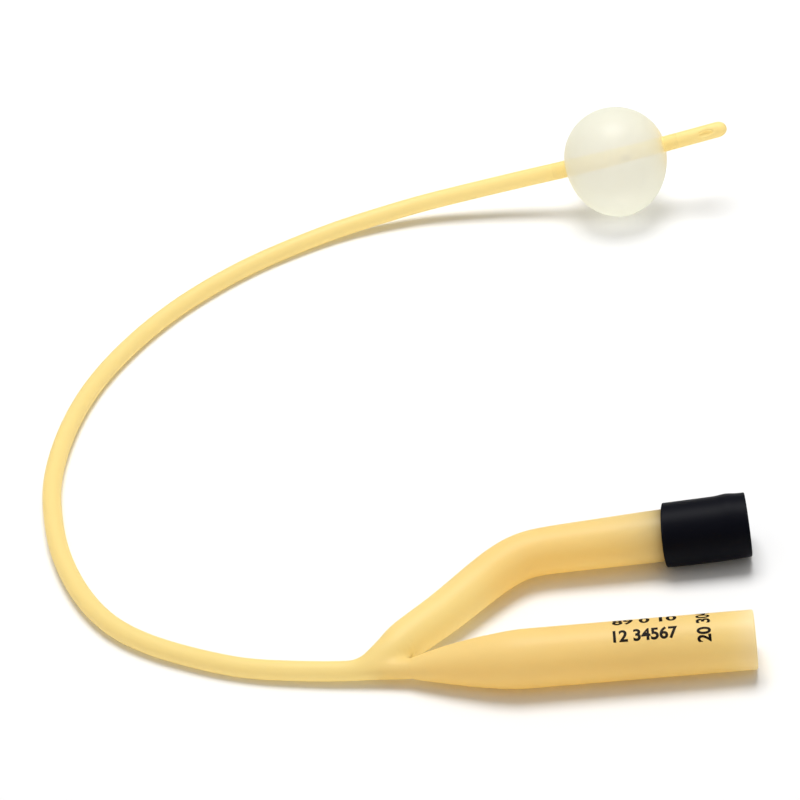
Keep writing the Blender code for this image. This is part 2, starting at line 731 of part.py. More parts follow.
def valve_plug(fork):
    """The soft plug inside the arm's end: a tapered port for the syringe and a pinhole behind it."""
    total = lengths_along(fork.arm)[-1]
    face = SLEEVE_LIP + FIT_GAP
    inner_end = face + PLUG_LENGTH
    front = arm_bore_radius(fork, total) - FIT_GAP
    back = arm_bore_radius(fork, total - PLUG_LENGTH) - FIT_GAP
    port = PORT_OD / 2
    port_end = port - PORT_TAPER * PORT_DEPTH / 2
    pinhole = PLUG_PINHOLE / 2
    profile = [(face, port), (face, front), (inner_end, back), (inner_end, pinhole),
               (face + PORT_DEPTH, pinhole), (face + PORT_DEPTH, port_end)]
    finish = material("white_rubber", (0.70, 0.69, 0.64), 0.5)
    turned("valve_plug", fork.sleeve_end, fork.arm_heading, profile, SIDES, finish)


def build():
    """Clears the scene and makes the four pieces."""
    for old in list(bpy.data.objects):
        bpy.data.objects.remove(old, do_unlink=True)
    fork = Fork()
    latex_body(fork)
    balloon(fork)
    valve_sleeve(fork)
    valve_plug(fork)


build()
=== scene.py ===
"""A paediatric balloon catheter of dipped latex, lying on a pale surface.

Lengths are in metres, and z = 0 is the surface.
"""

import bmesh
import bpy
import numpy as np
from mathutils import Matrix, Vector


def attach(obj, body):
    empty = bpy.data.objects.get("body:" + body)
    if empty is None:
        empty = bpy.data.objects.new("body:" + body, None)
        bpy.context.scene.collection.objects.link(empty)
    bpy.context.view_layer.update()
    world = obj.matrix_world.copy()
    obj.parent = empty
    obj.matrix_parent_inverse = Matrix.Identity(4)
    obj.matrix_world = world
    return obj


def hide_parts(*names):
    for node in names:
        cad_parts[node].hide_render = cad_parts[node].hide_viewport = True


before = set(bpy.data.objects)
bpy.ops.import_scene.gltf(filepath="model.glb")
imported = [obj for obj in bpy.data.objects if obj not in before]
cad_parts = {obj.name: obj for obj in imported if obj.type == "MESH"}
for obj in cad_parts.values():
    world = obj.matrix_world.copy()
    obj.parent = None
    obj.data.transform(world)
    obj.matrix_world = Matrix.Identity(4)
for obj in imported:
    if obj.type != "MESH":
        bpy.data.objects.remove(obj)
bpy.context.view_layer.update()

# Camera: a long lens 490 mm away, which looks down at 35 degrees from a little to the right and is
# rolled by 8 degrees, so that the funnel rises slightly to the right in the picture.
AIM = np.array([-0.00035, 0.0073, 0.0])
CAMERA_DISTANCE = 0.4902
CAMERA_AZIMUTH = np.radians(5.01)
CAMERA_ELEVATION = np.radians(35.0)
CAMERA_ROLL = np.radians(8.0)
FOCAL_PIXELS = 3300.0
PICTURE_PIXELS = 800.0
SENSOR_MM = 36.0

sight = np.array([-np.sin(CAMERA_AZIMUTH) * np.cos(CAMERA_ELEVATION),
                  np.cos(CAMERA_AZIMUTH) * np.cos(CAMERA_ELEVATION), -np.sin(CAMERA_ELEVATION)])
level_right = np.array([np.cos(CAMERA_AZIMUTH), np.sin(CAMERA_AZIMUTH), 0.0])
level_up = np.cross(level_right, sight)
camera_right = np.cos(CAMERA_ROLL) * level_right - np.sin(CAMERA_ROLL) * level_up
camera_up = np.cos(CAMERA_ROLL) * level_up + np.sin(CAMERA_ROLL) * level_right
lens = bpy.data.cameras.new("camera")
lens.sensor_width = SENSOR_MM
lens.lens = FOCAL_PIXELS / PICTURE_PIXELS * SENSOR_MM
lens.clip_start = 0.01
lens.clip_end = 10.0
camera = bpy.data.objects.new("camera", lens)
camera_stand = np.eye(4)
camera_stand[:3] = np.stack([camera_right, camera_up, -sight, AIM - CAMERA_DISTANCE * sight], axis=1)
camera.matrix_world = Matrix(camera_stand.tolist())
bpy.context.scene.collection.objects.link(camera)
bpy.context.scene.camera = camera
bpy.context.scene.view_settings.view_transform = "Standard"


def linear(hex_colour):
    """The linear colour of an sRGB hex value, with an alpha of one."""
    parts = [int(hex_colour[i:i + 2], 16) / 255.0 for i in (1, 3, 5)]
    return (*(part / 12.92 if part <= 0.04045 else ((part + 0.055) / 1.055) ** 2.4 for part in parts), 1.0)


def add_node(owner, kind, inputs=None, **settings):
    """Adds one node to a material or world, with its settings, and fills or links its inputs."""
    node = owner.node_tree.nodes.new(kind)
    for name, value in settings.items():
        setattr(node, name, value)
    for name, value in (inputs or {}).items():
        if isinstance(value, bpy.types.NodeSocket):
            owner.node_tree.links.new(value, node.inputs[name])
        else:
            node.inputs[name].default_value = value
    return node


def new_material(name):
    """An empty node material with its output node."""
    made = bpy.data.materials.new(name)
    made.use_nodes = True
    made.node_tree.nodes.clear()
    return made, made.node_tree.nodes.new("ShaderNodeOutputMaterial")


# The surface and the light: a white board under one broad lamp overhead, in a pale room that is
# brighter above than at its sides. The board takes the shadows, and its far parts are seen as white.
FLOOR_SIZE = 3.0
FLOOR_COLOUR = "#EBEBEB"
FLOOR_LIFT = 0.01           # added for the camera only, as is the white of the far parts
FAR_START = 0.18
FAR_END = 0.80
FULL_WHITE = 1.0
ROOM_COLOUR = "#FFFFFF"
HORIZON_STRENGTH = 0.10
ZENITH_STRENGTH = 0.6
LAMP_SIZE = 0.5
LAMP_HEIGHT = 0.80
LAMP_PLACE = (0.03, 0.20)
LAMP_POWER = 6.3

floor_mesh = bpy.data.meshes.new("floor")
half_floor = FLOOR_SIZE / 2
floor_mesh.from_pydata([(-half_floor, -half_floor, 0.0), (half_floor, -half_floor, 0.0),
                        (half_floor, half_floor, 0.0), (-half_floor, half_floor, 0.0)], [], [(0, 1, 2, 3)])
floor = bpy.data.objects.new("floor", floor_mesh)
bpy.context.scene.collection.objects.link(floor)
white_board, board_out = new_material("white_board")
board_diffuse = add_node(white_board, "ShaderNodeBsdfDiffuse", {"Color": linear(FLOOR_COLOUR)})
board_place = add_node(white_board, "ShaderNodeTexCoord")
from_middle = add_node(white_board, "ShaderNodeVectorMath", {0: board_place.outputs["Object"]},
                       operation="LENGTH")
far_lift = add_node(white_board, "ShaderNodeMapRange",
                    {"Value": from_middle.outputs["Value"], "From Min": FAR_START, "From Max": FAR_END,
                     "To Min": FLOOR_LIFT, "To Max": FULL_WHITE})
seen = add_node(white_board, "ShaderNodeLightPath")
seen_lift = add_node(white_board, "ShaderNodeMath",
                     {0: seen.outputs["Is Camera Ray"], 1: far_lift.outputs["Result"]}, operation="MULTIPLY")
board_lift = add_node(white_board, "ShaderNodeEmission", {"Color": linear(ROOM_COLOUR),
                                                          "Strength": seen_lift.outputs[0]})
board_sum = add_node(white_board, "ShaderNodeAddShader",
                     {0: board_diffuse.outputs[0], 1: board_lift.outputs[0]})
white_board.node_tree.links.new(board_sum.outputs[0], board_out.inputs["Surface"])
floor_mesh.materials.append(white_board)

world = bpy.data.worlds.new("pale_room")
bpy.context.scene.world = world
world.use_nodes = True
room = world.node_tree.nodes["Background"]
room.inputs["Color"].default_value = linear(ROOM_COLOUR)
ways = add_node(world, "ShaderNodeLightPath")
direct = add_node(world, "ShaderNodeMath",
                  {0: ways.outputs["Is Camera Ray"], 1: ways.outputs["Is Transmission Ray"]},
                  operation="MAXIMUM")
way_out = add_node(world, "ShaderNodeTexCoord")
height = add_node(world, "ShaderNodeSeparateXYZ", {0: way_out.outputs["Generated"]})
glow_level = add_node(world, "ShaderNodeMapRange",
                      {"Value": height.outputs["Z"], "To Min": HORIZON_STRENGTH, "To Max": ZENITH_STRENGTH})
level = add_node(world, "ShaderNodeMix",
                 {"Factor": direct.outputs[0], "A": glow_level.outputs["Result"], "B": FULL_WHITE})
world.node_tree.links.new(level.outputs["Result"], room.inputs["Strength"])

lamp_data = bpy.data.lights.new("overhead_lamp", "AREA")
lamp_data.shape = "DISK"
lamp_data.size = LAMP_SIZE
lamp_data.energy = LAMP_POWER
lamp = bpy.data.objects.new("overhead_lamp", lamp_data)
lamp.location = (*LAMP_PLACE, LAMP_HEIGHT)
lamp.rotation_euler = (-Vector(lamp.location)).to_track_quat("-Z", "Y").to_euler()
bpy.context.scene.collection.objects.link(lamp)


# The shaft: one soft latex tube dipped on a wire, 2.7 mm thick, from the fork's neck to a closed
# round tip. It lies free in a C, and the filled balloon holds its last third off the surface.
SHAFT_OD = 0.0027
SHAFT_OD_AT_FORK = 0.00284
NECK_OD = 0.00296
SWELL_RISE = 0.0075
SWELL_LENGTH = 0.030
TIP_OD = 0.00246
NOSE_LENGTH = 0.0015
BALLOON_OD = 0.01736
BALLOON_LENGTH = 0.0161
BALLOON_TO_TIP = 0.0181
BALLOON_SAG = 0.0007
BALLOON_DRIFT = 0.0004
FUNNEL_OD = 0.00785
FUNNEL_LENGTH = 0.0302
FUNNEL_TAPER = 0.0148
FUNNEL_Y = -0.0595
SHOULDER_X = 0.0170
TAPER_CURVE = 1.5
NECK_ROUTE = [
    (0.01110, -0.05885, 0.00010), (0.00570, -0.05810, 0.00050), (0.00200, -0.05760, 0.00080),
    (-0.00235, -0.05690, 0.00050), (-0.00770, -0.05620, 0.00022), (-0.01390, -0.05515, 0.00006)]
SHAFT_ROUTE = [
    (-0.02100, -0.05333), (-0.02755, -0.05050), (-0.03366, -0.04702), (-0.03903, -0.04255),
    (-0.04325, -0.03673), (-0.04643, -0.03006), (-0.04869, -0.02324), (-0.05015, -0.01620),
    (-0.05100, -0.00900), (-0.05085, -0.00170), (-0.04990, 0.00550), (-0.04820, 0.01260),
    (-0.04570, 0.01930), (-0.04240, 0.02570), (-0.03850, 0.03170), (-0.03395, 0.03725),
    (-0.02880, 0.04230), (-0.02320, 0.04675)]
RAISED_ROUTE = [
    (-0.01710, 0.05050, 0.010), (-0.01060, 0.05365, 0.040), (-0.00390, 0.05570, 0.105),
    (0.00300, 0.05690, 0.210), (0.01010, 0.05710, 0.355), (0.01715, 0.05680, 0.525),
    (0.02420, 0.05615, 0.712), (0.03120, 0.05545, 0.905), (0.03820, 0.05500, 1.100),
    (0.04520, 0.05488, 1.280), (0.05240, 0.05505, 1.450)]
ROUTE_STEP = 0.0002
UP = np.array([0.0, 0.0, 1.0])


def unit(vectors):
    """Vectors brought to length one."""
    return vectors / np.linalg.norm(vectors, axis=-1, keepdims=True)


def lengths_along(path):
    """Distance of each point from the path's start, measured along it."""
    return np.concatenate([[0.0], np.cumsum(np.linalg.norm(np.diff(path, axis=0), axis=1))])


def smooth_route(points, start_direction=None, end_direction=None):
    """Points a step apart on the cubic spline through the given ones, clamped to a given direction."""
    points = np.array(points, dtype=float)
    knots = lengths_along(points)
    gaps = np.diff(knots)
    slopes = np.diff(points, axis=0) / gaps[:, None]
    count = len(points)
    system = np.diag(np.ones(count))
    right = np.zeros((count, 3))
    inner = np.arange(1, count - 1)
    system[inner, inner - 1] = gaps[:-1]
    system[inner, inner] = 2.0 * (gaps[:-1] + gaps[1:])
    system[inner, inner + 1] = gaps[1:]
    right[inner] = 6.0 * np.diff(slopes, axis=0)
    if start_direction is not None:
        system[0, :2] = 2.0 * gaps[0], gaps[0]
        right[0] = 6.0 * (slopes[0] - start_direction)
    if end_direction is not None:
        system[-1, -2:] = gaps[-1], 2.0 * gaps[-1]
        right[-1] = 6.0 * (end_direction - slopes[-1])
    bends = np.linalg.solve(system, right)
    fine = np.linspace(0.0, knots[-1], int(2 * knots[-1] / ROUTE_STEP))
    span = np.clip(np.searchsorted(knots, fine, side="right") - 1, 0, count - 2)
    width = gaps[span][:, None]
    after = (fine - knots[span])[:, None]
    before = width - after
    curve = (bends[span] * before ** 3 + bends[span + 1] * after ** 3) / (6.0 * width)
    curve += (points[span] / width - bends[span] * width / 6.0) * before
    curve += (points[span + 1] / width - bends[span + 1] * width / 6.0) * after
    return even_steps(curve, ROUTE_STEP)


def even_steps(curve, step):
    """The same line with its points an equal step apart."""
    along = lengths_along(curve)
    places = np.linspace(0.0, along[-1], max(int(round(along[-1] / step)), 1) + 1)
    return np.stack([np.interp(places, along, curve[:, axis]) for axis in range(3)], axis=1)


def taper_share(share):
    """The funnel's growth from neck, 0, to shoulder, 1: quick at the neck, level at the shoulder."""
    return 1.0 - (1.0 - share) ** TAPER_CURVE


def drain_radius(distance):
    """Outer radius of funnel, neck, shaft and tip at a distance from the funnel's mouth."""
    neck_end = FUNNEL_LENGTH + FUNNEL_TAPER
    share = np.clip((neck_end - distance) / FUNNEL_TAPER, 0.0, 1.0)
    funnel = NECK_OD / 2 + (FUNNEL_OD - NECK_OD) / 2 * taper_share(share)
    shaft = np.interp(distance - neck_end, [0.0, SWELL_RISE, SWELL_LENGTH],
                      [NECK_OD / 2, SHAFT_OD_AT_FORK / 2, SHAFT_OD / 2])
    tip = np.interp(drain_length - distance,
                    [BALLOON_TO_TIP - BALLOON_LENGTH / 4, BALLOON_TO_TIP + BALLOON_LENGTH / 4],
                    [TIP_OD / 2, SHAFT_OD / 2])
    return np.where(distance < neck_end, funnel, np.minimum(shaft, tip))


neck = np.array([(SHOULDER_X, FUNNEL_Y, 0.0), *NECK_ROUTE])
neck_share = np.clip((neck[:, 0] - SHOULDER_X + FUNNEL_TAPER) / FUNNEL_TAPER, 0.0, 1.0)
neck[:, 2] += NECK_OD / 2 + (FUNNEL_OD - NECK_OD) / 2 * taper_share(neck_share)
lying = np.array([(x, y, SHAFT_OD / 2) for x, y in SHAFT_ROUTE])
balloon_lift = BALLOON_OD / 2 + BALLOON_SAG - SHAFT_OD / 2
raised = np.array(RAISED_ROUTE) * (1.0, 1.0, balloon_lift) + SHAFT_OD / 2 * UP
drain_bend = smooth_route(np.concatenate([neck, lying, raised]),
                          start_direction=np.array([-1.0, 0.0, 0.0]))
funnel_mouth = np.array([SHOULDER_X + FUNNEL_LENGTH, FUNNEL_Y, FUNNEL_OD / 2])
funnel_run = even_steps(np.array([funnel_mouth, drain_bend[0]]), ROUTE_STEP)
drain_path = np.concatenate([funnel_run[:-1], drain_bend])
drain_at = lengths_along(drain_path)
drain_length = drain_at[-1]
drain_path[:, 2] = np.maximum(drain_path[:, 2], drain_radius(drain_at))


def stand_at(path, distances):
    """Places, directions, level side directions and rises at distances along a path."""
    measure = lengths_along(path)
    distances = np.asarray(distances, dtype=float)
    places = np.stack([np.interp(distances, measure, path[:, axis]) for axis in range(3)], axis=-1)
    slope = np.gradient(path, measure, axis=0)
    along = unit(np.stack([np.interp(distances, measure, slope[:, axis]) for axis in range(3)], axis=-1))
    side = unit(np.cross(along, UP))
    return places, along, side, np.cross(side, along)


def round_rings(path, distances, radii, sides):
    """Round sections: place + radius (cos turn x side + sin turn x rise), as rings of points.

    radii holds one value per ring, or one for each point of each ring.
    """
    places, _, side, rise = stand_at(path, distances)
    turn = (np.arange(sides) * 2.0 * np.pi / sides)[None, :, None]
    radii = np.broadcast_to(np.asarray(radii).reshape(len(places), -1), (len(places), sides))[..., None]
    return places[:, None] + radii * (np.cos(turn) * side[:, None] + np.sin(turn) * rise[:, None])


def strip_faces(rings):
    """Four-sided faces between neighbouring rings of point numbers, which face out along a path."""
    rings = np.asarray(rings)
    following = np.roll(rings, -1, axis=1)
    return np.stack([rings[:-1], rings[1:], following[1:], following[:-1]], axis=-1).reshape(-1, 4)


def cap_faces(ring, centre, at_start):
    """Three-sided faces from a ring to its centre point."""
    following = np.roll(ring, -1)
    hub = np.full(len(ring), centre)
    return np.stack([ring, following, hub] if at_start else [following, ring, hub], axis=-1)


def make_piece(name, points, faces, finish):
    """A smooth piece at the origin from points and lists of faces, which rides on the catheter's body."""
    mesh = bpy.data.meshes.new(name)
    mesh.from_pydata(np.reshape(points, (-1, 3)), [], [face for group in faces for face in group.tolist()])
    mesh.shade_smooth()
    mesh.materials.append(finish)
    made = bpy.data.objects.new(name, mesh)
    bpy.context.scene.collection.objects.link(made)
    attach(made, "root")
    return made


def refinish(piece, chosen, finish):
    """Gives a piece's faces another finish where all their corners are among the chosen points."""
    picked = np.zeros(len(piece.data.vertices), dtype=bool)
    picked[chosen] = True
    piece.data.materials.append(finish)
    for face in piece.data.polygons:
        if picked[list(face.vertices)].all():
            face.material_index = len(piece.data.materials) - 1


def mark_points(piece, name, values):
    """Keeps one number for each point of a piece, for its material to read."""
    kept = piece.data.attributes.new(name, "FLOAT", "POINT")
    kept.data.foreach_set("value", np.asarray(values, dtype=np.float32))


# Finish of the latex: natural rubber dipped in thin coats and cured, pale yellow with faint clouds.
# Light goes a millimetre or two into it, so its shade is soft and warm, with a satin sheen on top.
LATEX_COLOUR = "#FAEBA6"
LATEX_DEEP = "#F9E69C"
LATEX_PALE_AND_PAINTED_LIGHT = "#FCF3CE"
LATEX_PAINTED_SHADE = "#6B5836"
LATEX_GLOW = "#FDF0C8"
LATEX_ROUGHNESS = 0.42
LATEX_IOR = 1.52
LATEX_SHEEN = 0.35
GLOW_SHARE = 0.54
CLOUD_SIZE = 0.006
GRAIN_SIZE = 0.00035
GRAIN_HEIGHT = 0.000006


def latex_material(name, see_through):
    """Dipped latex: a satin skin that lets part of the light through, and may be partly clear."""
    latex, latex_out = new_material(name)
    place = add_node(latex, "ShaderNodeTexCoord")
    cloud = add_node(latex, "ShaderNodeTexNoise",
                     {"Vector": place.outputs["Object"], "Scale": 1.0 / CLOUD_SIZE, "Detail": 3.0})
    cloudy = add_node(latex, "ShaderNodeMix",
                      {"Factor": cloud.outputs["Fac"], "A": linear(LATEX_COLOUR), "B": linear(LATEX_DEEP)},
                      data_type="RGBA")
    # Numbers kept on the points mix in paler latex, which at the funnel's mouth is painted light, and
    # painted shade, next to the black sleeve and in the small eye under the balloon. The painted shade
    # darkens the glow too.
    paleness_and_painted_light = add_node(latex, "ShaderNodeAttribute", attribute_name="paleness_and_painted_light")
    pale = add_node(latex, "ShaderNodeMix",
                    {"Factor": paleness_and_painted_light.outputs["Fac"], "A": cloudy.outputs["Result"],
                     "B": linear(LATEX_PALE_AND_PAINTED_LIGHT)}, data_type="RGBA")
    shade = add_node(latex, "ShaderNodeAttribute", attribute_name="shade")
    surface = add_node(latex, "ShaderNodeMix",
                       {"Factor": shade.outputs["Fac"], "A": pale.outputs["Result"],
                        "B": linear(LATEX_PAINTED_SHADE)}, data_type="RGBA")
    inner = add_node(latex, "ShaderNodeMix",
                     {"Factor": shade.outputs["Fac"], "A": linear(LATEX_GLOW), "B": linear(LATEX_PAINTED_SHADE)},
                     data_type="RGBA")
    grain = add_node(latex, "ShaderNodeTexNoise",
                     {"Vector": place.outputs["Object"], "Scale": 1.0 / GRAIN_SIZE, "Detail": 2.0})
    relief = add_node(latex, "ShaderNodeBump",
                      {"Height": grain.outputs["Fac"], "Distance": GRAIN_HEIGHT, "Strength": 1.0})
    skin = add_node(latex, "ShaderNodeBsdfPrincipled",
                    {"Base Color": surface.outputs["Result"], "Roughness": LATEX_ROUGHNESS, "IOR": LATEX_IOR,
                     "Specular IOR Level": LATEX_SHEEN, "Normal": relief.outputs["Normal"]})
    glow = add_node(latex, "ShaderNodeBsdfTranslucent", {"Color": inner.outputs["Result"]})
    lit = add_node(latex, "ShaderNodeMixShader", {0: GLOW_SHARE, 1: skin.outputs[0], 2: glow.outputs[0]})
    clear = add_node(latex, "ShaderNodeBsdfTransparent", {"Color": linear(LATEX_GLOW)})
    whole = add_node(latex, "ShaderNodeMixShader", {0: see_through, 1: lit.outputs[0], 2: clear.outputs[0]})
    latex.node_tree.links.new(whole.outputs[0], latex_out.inputs["Surface"])
    return latex


dipped_latex = latex_material("dipped_latex", 0.0)

# The tube itself: rings a fraction of a millimetre apart, closer at its eyes. Two oval drainage eyes
# go in near the tip, one on each side, and a small round one under the balloon fills it.
JOINT_PAST_NECK = 0.0150
SHAFT_START = FUNNEL_LENGTH + FUNNEL_TAPER + JOINT_PAST_NECK
SHAFT_SIDES = 64
SHAFT_STEP = 0.0008
EYE_STEP = 0.0001
EYE_STRETCH = 0.0090
EYE_LENGTH = 0.0021
EYE_WIDTH = 0.0010
EYE_TO_TIP = 0.0034
EYE_STAGGER = 0.0032
EYE_TURN = np.radians(27.0)
EYE_DEPTH = 0.45
EYE_EDGE = 12.0             # how steeply an eye's side falls
EXP_LIMIT = 40.0
FILL_EYE = 0.00062
FILL_EYE_TO_TIP = 0.0164
FILL_EYE_STRETCH = 0.0015
FILL_EYE_STEP = 0.00008
# How wide and how dark the painted shade in the small eye is.
FILL_EYE_BLUR = 2.2
FILL_EYE_PAINTED_SHADE = 0.6
NOSE_ROWS = 24

nose_turn = np.linspace(0.0, np.pi / 2, NOSE_ROWS)[1:-1]
nose_start = drain_length - NOSE_LENGTH
eye_start = drain_length - EYE_STRETCH
fill_start, fill_end = drain_length - FILL_EYE_TO_TIP + np.array([-1.0, 1.0]) * FILL_EYE_STRETCH
shaft_at = np.concatenate([
    np.linspace(SHAFT_START, fill_start, int((fill_start - SHAFT_START) / SHAFT_STEP), endpoint=False),
    np.linspace(fill_start, fill_end, int(2 * FILL_EYE_STRETCH / FILL_EYE_STEP), endpoint=False),
    np.linspace(fill_end, eye_start, int((eye_start - fill_end) / SHAFT_STEP), endpoint=False),
    np.linspace(eye_start, nose_start, int((nose_start - eye_start) / EYE_STEP)),
    nose_start + NOSE_LENGTH * np.sin(nose_turn)])
shaft_radii = drain_radius(shaft_at)
shaft_radii[-len(nose_turn):] *= np.cos(nose_turn)
shaft_turn = np.arange(SHAFT_SIDES) * 2.0 * np.pi / SHAFT_SIDES
shaft_spread = np.repeat(shaft_radii[:, None], SHAFT_SIDES, axis=1)
for eye_at, eye_turn, eye_length, eye_width in (
        (EYE_TO_TIP, EYE_TURN, EYE_LENGTH, EYE_WIDTH),
        (EYE_TO_TIP + EYE_STAGGER, EYE_TURN + np.pi, EYE_LENGTH, EYE_WIDTH),
        (FILL_EYE_TO_TIP, 0.0, FILL_EYE, FILL_EYE)):
    along_eye = (shaft_at - (drain_length - eye_at))[:, None] / (eye_length / 2)
    around_eye = np.angle(np.exp(1j * (shaft_turn - eye_turn)))[None] * TIP_OD / 2 / (eye_width / 2)
    from_eye = np.hypot(along_eye, around_eye)
    sink = 1.0 / (1.0 + np.exp(np.minimum((from_eye - 1.0) * EYE_EDGE, EXP_LIMIT)))
    shaft_spread *= 1.0 - EYE_DEPTH * sink
shaft_points = round_rings(drain_path, shaft_at, shaft_spread, SHAFT_SIDES)
shaft_numbers = np.arange(shaft_points[..., 0].size).reshape(len(shaft_at), SHAFT_SIDES)
shaft_ends = np.array([stand_at(drain_path, SHAFT_START)[0], drain_path[-1]])
joint_rim = shaft_numbers.size + 2 + np.arange(SHAFT_SIDES)
shaft = make_piece("shaft", np.concatenate([shaft_points.reshape(-1, 3), shaft_ends, shaft_points[0]]), [
    strip_faces(shaft_numbers), cap_faces(joint_rim, shaft_numbers.size, True),
    cap_faces(shaft_numbers[-1], shaft_numbers.size + 1, False)], dipped_latex)
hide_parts("latex_body")

# Painted shade: the small eye, the loop's last, is shaded dark inside, and the milky skin over it blurs that
# painted dark spot.
eye_painted_shade = FILL_EYE_PAINTED_SHADE * np.exp(-(from_eye / FILL_EYE_BLUR) ** 2).ravel()
mark_points(shaft, "shade", np.concatenate([eye_painted_shade, np.zeros(2 + SHAFT_SIDES)]))

# The shaft is one dip with the fork's neck, so the hidden faces where the two meet are clear and let
# the light run on inside the latex. They have a rim of their own, which keeps the skin's shade smooth.
clear_joint, joint_out = new_material("clear_joint")
joint_shader = add_node(clear_joint, "ShaderNodeBsdfTransparent")
clear_joint.node_tree.links.new(joint_shader.outputs[0], joint_out.inputs["Surface"])
refinish(shaft, [*joint_rim, shaft_numbers.size], clear_joint)


# The forked body: funnel, neck and inflation arm, dipped with the shaft in one piece. The coats run
# together where the two limbs part and leave a web there. Both limbs are hollow and open at the end.
ARM_ROUTE = [
    (-0.00560, -0.05620, 0.00110), (-0.00300, -0.05560, 0.00090), (-0.00080, -0.05425, 0.00035),
    (0.00100, -0.05255, 0.00010), (0.00573, -0.04811, 0.00022), (0.01045, -0.04325, 0.00040),
    (0.01396, -0.03979, 0.00052), (0.01736, -0.03759, 0.00061), (0.02108, -0.03694, 0.00068)]
ARM_RUN_START = (0.02409, -0.03682, 0.00072)
ARM_RUN_END = (0.04814, -0.03609, 0.00041)
ARM_OD_ROOT = 0.0012
ARM_OD_FORK = 0.0055
ARM_OD_END = 0.0071
ARM_ROOT_LENGTH = 0.0080
SLEEVE_LENGTH = 0.0114
SLEEVE_LIP = 0.0014
SLEEVE_WALL = 0.000675
FIT_GAP = 0.00015
WEB_BLEND = 0.0011
WEB_DEPTH = 0.0006
LIMB_SIDES = 96
LIMB_STEP = 0.0006
FORK_STEP = 0.0003
FORK_REACH = 0.0100
ROD_STRIDE = 3
REACH_STEPS = 40
SETTLE_STEPS = 4
SLOPE_STEP = 1e-6
NEVER_ZERO = 5e-5
PATCH_ROWS = 7


def arm_radius(distance, total):
    """Outer radius of the inflation arm at a distance from its root: straight under the sleeve."""
    root = (ARM_OD_FORK - ARM_OD_ROOT) / 2 * taper_share(np.clip(distance / ARM_ROOT_LENGTH, 0.0, 1.0))
    grown = np.interp(distance, [ARM_ROOT_LENGTH, total - SLEEVE_LENGTH],
                      [0.0, (ARM_OD_END - ARM_OD_FORK) / 2])
    return ARM_OD_ROOT / 2 + root + grown


arm_marks = np.array([*ARM_ROUTE, ARM_RUN_START, ARM_RUN_END])
arm_flat = lengths_along(arm_marks[:, :2])
arm_marks[:-1, 2] += arm_radius(arm_flat[:-1], arm_flat[-1])
arm_marks[-1, 2] += ARM_OD_END / 2 + FIT_GAP + SLEEVE_WALL
sleeve_end = arm_marks[-1]
arm_heading = unit(sleeve_end - arm_marks[-2])
arm_bend = smooth_route(arm_marks[:-1], end_direction=arm_heading)
arm_run = even_steps(np.array([arm_marks[-2], sleeve_end - arm_heading * (SLEEVE_LIP + FIT_GAP)]),
                     ROUTE_STEP)
arm_out = np.concatenate([arm_bend, arm_run[1:]])
arm_length = lengths_along(arm_out)[-1]
arm_out[:, 2] = np.maximum(arm_out[:, 2], arm_radius(lengths_along(arm_out), arm_length))
arm_path = arm_out[::-1]
arm_rod = arm_out[::ROD_STRIDE]
arm_rod_radii = arm_radius(lengths_along(arm_out)[::ROD_STRIDE], arm_length)
near_fork = np.linalg.norm(drain_path - arm_out[0], axis=1) < FUNNEL_TAPER + FORK_REACH
drain_rod = drain_path[near_fork][::ROD_STRIDE]
drain_rod_radii = drain_radius(drain_at[near_fork][::ROD_STRIDE])


def rod_distance(points, axis, radii):
    """Distance from points to a rod of changing thickness, negative inside it."""
    start, step = axis[:-1], np.diff(axis, axis=0)
    offset = points[:, None] - start
    share = np.clip((offset * step).sum(-1) / (step * step).sum(-1), 0.0, 1.0)
    gap = np.linalg.norm(offset - share[..., None] * step, axis=-1)
    return (gap - radii[:-1] - share * np.diff(radii)).min(axis=1)


def skin_distance(points):
    """Distance outside the dipped skin: the nearer rod's, eased where both rods are about as near."""
    drain = rod_distance(points, drain_rod, drain_rod_radii)
    arm = rod_distance(points, arm_rod, arm_rod_radii)
    shared = np.maximum(WEB_BLEND - np.abs(drain - arm), 0.0) / WEB_BLEND
    return np.minimum(drain, arm) - shared ** 2 * WEB_BLEND / 4


def reach_skin(starts, rays):
    """Where rays that start inside come out of the skin: each step is the distance still to go."""
    shape = np.broadcast_shapes(starts.shape, rays.shape)
    starts = np.broadcast_to(starts, shape).reshape(-1, 3)
    rays = np.broadcast_to(rays, shape).reshape(-1, 3)
    reach = np.zeros(len(starts))
    for _ in range(REACH_STEPS):
        reach -= skin_distance(starts + reach[:, None] * rays)
    return (starts + reach[:, None] * rays).reshape(shape)


def settle_on_skin(points):
    """Points moved onto the skin along its slope."""
    flat = points.reshape(-1, 3).copy()
    for _ in range(SETTLE_STEPS):
        here = skin_distance(flat)
        slope = np.stack([(skin_distance(flat + SLOPE_STEP * axis) - here) / SLOPE_STEP
                          for axis in np.eye(3)], axis=-1)
        flat -= (here / (slope ** 2).sum(axis=-1))[:, None] * slope
    return flat.reshape(points.shape)


def limb_rings(path, last_at, radius_at):
    """Sections of one limb up to a distance along its path: plain circles, then rays near the fork."""
    plain_end = last_at - FORK_REACH
    plain_at = np.linspace(0.0, plain_end, int(plain_end / LIMB_STEP))
    ray_at = np.linspace(plain_end, last_at, int(FORK_REACH / FORK_STEP))[1:]
    plain = round_rings(path, plain_at, radius_at(plain_at), LIMB_SIDES)
    places, _, side, rise = stand_at(path, ray_at)
    rays = np.cos(limb_turn) * side[:, None] + np.sin(limb_turn) * rise[:, None]
    return np.concatenate([plain, reach_skin(places[:, None], rays)])


